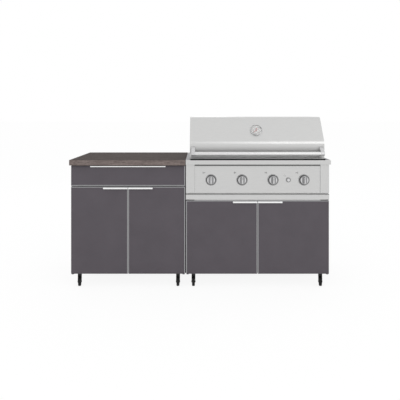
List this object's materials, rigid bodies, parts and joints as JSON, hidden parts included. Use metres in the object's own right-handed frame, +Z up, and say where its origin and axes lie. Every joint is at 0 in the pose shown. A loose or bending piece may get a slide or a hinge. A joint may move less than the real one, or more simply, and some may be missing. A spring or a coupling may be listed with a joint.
{
  "type": "modular outdoor kitchen",
  "caption": "Outdoor kitchen in two cabinets on casters: a drawer cabinet with worktop beside a built-in gas grill with hinged hood.",
  "frame": {"origin": "on the floor, under the middle of the whole kitchen's box", "axes": "+X to the right along the fronts, +Y to the back, +Z up"},
  "size_m": [1.8368, 0.65, 1.2],
  "materials": {
    "brushed_steel": "brushed stainless steel, grain along the width",
    "plain_steel": "plain mill-finish steel, hidden inside",
    "cabinet_paint": "dark warm grey powder coat on folded aluminium sheet",
    "front_paint": "dark warm grey satin coat on aluminium composite board",
    "edge_aluminium": "natural anodised aluminium",
    "worktop_board": "brown-grey streaked board, matt",
    "cast_grate": "black enamelled cast iron",
    "knob_metal": "satin plated die-cast metal",
    "button_metal": "satin turned metal",
    "gauge_metal": "polished case with a pale dial",
    "gauge_lens": "clear flat glass",
    "needle_red": "red painted pointer",
    "caster_black": "black zinc plate",
    "caster_tread": "black solid rubber"
  },
  "bodies": {
    "cabinets": {"grill_rim": "brushed_steel", "grill_pillars": "brushed_steel", "control_panel": "brushed_steel", "firebox_walls": "plain_steel", "burners": "plain_steel", "heat_tents": "plain_steel", "tray_rails": "plain_steel", "hood_pivots": "plain_steel", "warming_rack": "plain_steel", "drawer_runners": "plain_steel", "joining_bolts": "plain_steel", "door_pivots": "plain_steel", "gas_manifold": "plain_steel", "cabinet_sides": "cabinet_paint", "cabinet_floors": "cabinet_paint", "cabinet_backs": "cabinet_paint", "cabinet_rails": "cabinet_paint", "cabinet_shelf": "cabinet_paint", "worktop": "worktop_board", "cooking_grates": "cast_grate", "control_bezels": "knob_metal", "caster_plates": "caster_black", "rear_caster_forks": "caster_black"},
    "hood": {"hood_skin": "brushed_steel", "hood_ends": "brushed_steel", "hood_handle": "brushed_steel", "handle_posts": "brushed_steel", "gauge_case": "gauge_metal", "gauge_glass": "gauge_lens"},
    "gauge_needle": {"gauge_needle": "needle_red"},
    "drawer": {"drawer_front_panel": "front_paint", "drawer_front_frame": "edge_aluminium", "drawer_box": "plain_steel", "drawer_slides": "plain_steel"},
    "base_left_door": {"base_left_door_panel": "front_paint", "base_left_door_frame": "edge_aluminium"},
    "base_right_door": {"base_right_door_panel": "front_paint", "base_right_door_frame": "edge_aluminium"},
    "grill_left_door": {"grill_left_door_panel": "front_paint", "grill_left_door_frame": "edge_aluminium"},
    "grill_right_door": {"grill_right_door_panel": "front_paint", "grill_right_door_frame": "edge_aluminium"},
    "grease_tray": {"grease_tray": "brushed_steel"},
    "burner_knob_1": {"burner_knob_1": "knob_metal"},
    "burner_knob_2": {"burner_knob_2": "knob_metal"},
    "burner_knob_3": {"burner_knob_3": "knob_metal"},
    "burner_knob_4": {"burner_knob_4": "knob_metal"},
    "igniter_button": {"igniter_button": "button_metal"},
    "base_front_left_caster": {"base_front_left_fork": "caster_black"},
    "base_front_right_caster": {"base_front_right_fork": "caster_black"},
    "grill_front_left_caster": {"grill_front_left_fork": "caster_black"},
    "grill_front_right_caster": {"grill_front_right_fork": "caster_black"},
    "base_front_left_wheel": {"base_front_left_wheel": "caster_tread"},
    "base_front_right_wheel": {"base_front_right_wheel": "caster_tread"},
    "grill_front_left_wheel": {"grill_front_left_wheel": "caster_tread"},
    "grill_front_right_wheel": {"grill_front_right_wheel": "caster_tread"},
    "base_rear_left_wheel": {"base_rear_left_wheel": "caster_tread"},
    "base_rear_right_wheel": {"base_rear_right_wheel": "caster_tread"},
    "grill_rear_left_wheel": {"grill_rear_left_wheel": "caster_tread"},
    "grill_rear_right_wheel": {"grill_rear_right_wheel": "caster_tread"}
  },
  "joints": [
    {"name": "hood_hinge", "type": "hinge", "parent": "cabinets", "child": "hood", "pos_m": [0.4064, 0.205, 0.949], "axis": [-1, 0, 0], "range_deg": [0, 85]},
    {"name": "gauge_needle_turn", "type": "hinge", "parent": "hood", "child": "gauge_needle", "pos_m": [0.4064, -0.20006, 1.103], "axis": [0, 0.8107, -0.5855], "range_deg": [0, 270]},
    {"name": "base_left_door_hinge", "type": "hinge", "parent": "cabinets", "child": "base_left_door", "pos_m": [-0.9004, -0.278, 0.094], "axis": [0, 0, -1], "range_deg": [0, 90]},
    {"name": "base_right_door_hinge", "type": "hinge", "parent": "cabinets", "child": "base_right_door", "pos_m": [-0.1156, -0.278, 0.094], "axis": [0, 0, 1], "range_deg": [0, 90]},
    {"name": "grill_left_door_hinge", "type": "hinge", "parent": "cabinets", "child": "grill_left_door", "pos_m": [-0.0876, -0.278, 0.094], "axis": [0, 0, -1], "range_deg": [0, 90]},
    {"name": "grill_right_door_hinge", "type": "hinge", "parent": "cabinets", "child": "grill_right_door", "pos_m": [0.9004, -0.278, 0.094], "axis": [0, 0, 1], "range_deg": [0, 90]},
    {"name": "drawer_slide", "type": "slide", "parent": "cabinets", "child": "drawer", "axis": [0, -1, 0], "range_m": [0, 0.4]},
    {"name": "grease_tray_slide", "type": "slide", "parent": "cabinets", "child": "grease_tray", "axis": [0, -1, 0], "range_m": [0, 0.35]},
    {"name": "burner_knob_1_turn", "type": "hinge", "parent": "cabinets", "child": "burner_knob_1", "pos_m": [0.0779, -0.285, 0.757], "axis": [0, -1, 0], "range_deg": [0, 200]},
    {"name": "burner_knob_2_turn", "type": "hinge", "parent": "cabinets", "child": "burner_knob_2", "pos_m": [0.2969, -0.285, 0.757], "axis": [0, -1, 0], "range_deg": [0, 200]},
    {"name": "burner_knob_3_turn", "type": "hinge", "parent": "cabinets", "child": "burner_knob_3", "pos_m": [0.5159, -0.285, 0.757], "axis": [0, -1, 0], "range_deg": [0, 200]},
    {"name": "burner_knob_4_turn", "type": "hinge", "parent": "cabinets", "child": "burner_knob_4", "pos_m": [0.7349, -0.285, 0.757], "axis": [0, -1, 0], "range_deg": [0, 200]},
    {"name": "igniter_press", "type": "slide", "parent": "cabinets", "child": "igniter_button", "axis": [0, 1, 0], "range_m": [0, 0.004], "stiffness_N_per_m": 900},
    {"name": "base_front_left_swivel", "type": "hinge", "parent": "cabinets", "child": "base_front_left_caster", "pos_m": [-0.8594, -0.24, 0.088], "axis": [0, 0, 1], "continuous": true},
    {"name": "base_front_right_swivel", "type": "hinge", "parent": "cabinets", "child": "base_front_right_caster", "pos_m": [-0.1566, -0.24, 0.088], "axis": [0, 0, 1], "continuous": true},
    {"name": "grill_front_left_swivel", "type": "hinge", "parent": "cabinets", "child": "grill_front_left_caster", "pos_m": [-0.0466, -0.24, 0.088], "axis": [0, 0, 1], "continuous": true},
    {"name": "grill_front_right_swivel", "type": "hinge", "parent": "cabinets", "child": "grill_front_right_caster", "pos_m": [0.8594, -0.24, 0.088], "axis": [0, 0, 1], "continuous": true},
    {"name": "base_front_left_roll", "type": "hinge", "parent": "base_front_left_caster", "child": "base_front_left_wheel", "pos_m": [-0.85627, -0.25773, 0.03175], "axis": [0.9848, 0.1736, 0], "continuous": true},
    {"name": "base_front_right_roll", "type": "hinge", "parent": "base_front_right_caster", "child": "base_front_right_wheel", "pos_m": [-0.1566, -0.258, 0.03175], "axis": [1, 0, 0], "continuous": true},
    {"name": "grill_front_left_roll", "type": "hinge", "parent": "grill_front_left_caster", "child": "grill_front_left_wheel", "pos_m": [-0.0466, -0.258, 0.03175], "axis": [1, 0, 0], "continuous": true},
    {"name": "grill_front_right_roll", "type": "hinge", "parent": "grill_front_right_caster", "child": "grill_front_right_wheel", "pos_m": [0.85627, -0.25773, 0.03175], "axis": [0.9848, -0.1736, 0], "continuous": true},
    {"name": "base_rear_left_roll", "type": "hinge", "parent": "cabinets", "child": "base_rear_left_wheel", "pos_m": [-0.8594, 0.273, 0.03175], "axis": [-1, 0, 0], "continuous": true},
    {"name": "base_rear_right_roll", "type": "hinge", "parent": "cabinets", "child": "base_rear_right_wheel", "pos_m": [-0.1566, 0.273, 0.03175], "axis": [-1, 0, 0], "continuous": true},
    {"name": "grill_rear_left_roll", "type": "hinge", "parent": "cabinets", "child": "grill_rear_left_wheel", "pos_m": [-0.0466, 0.273, 0.03175], "axis": [-1, 0, 0], "continuous": true},
    {"name": "grill_rear_right_roll", "type": "hinge", "parent": "cabinets", "child": "grill_rear_right_wheel", "pos_m": [0.8594, 0.273, 0.03175], "axis": [-1, 0, 0], "continuous": true}
  ]
}
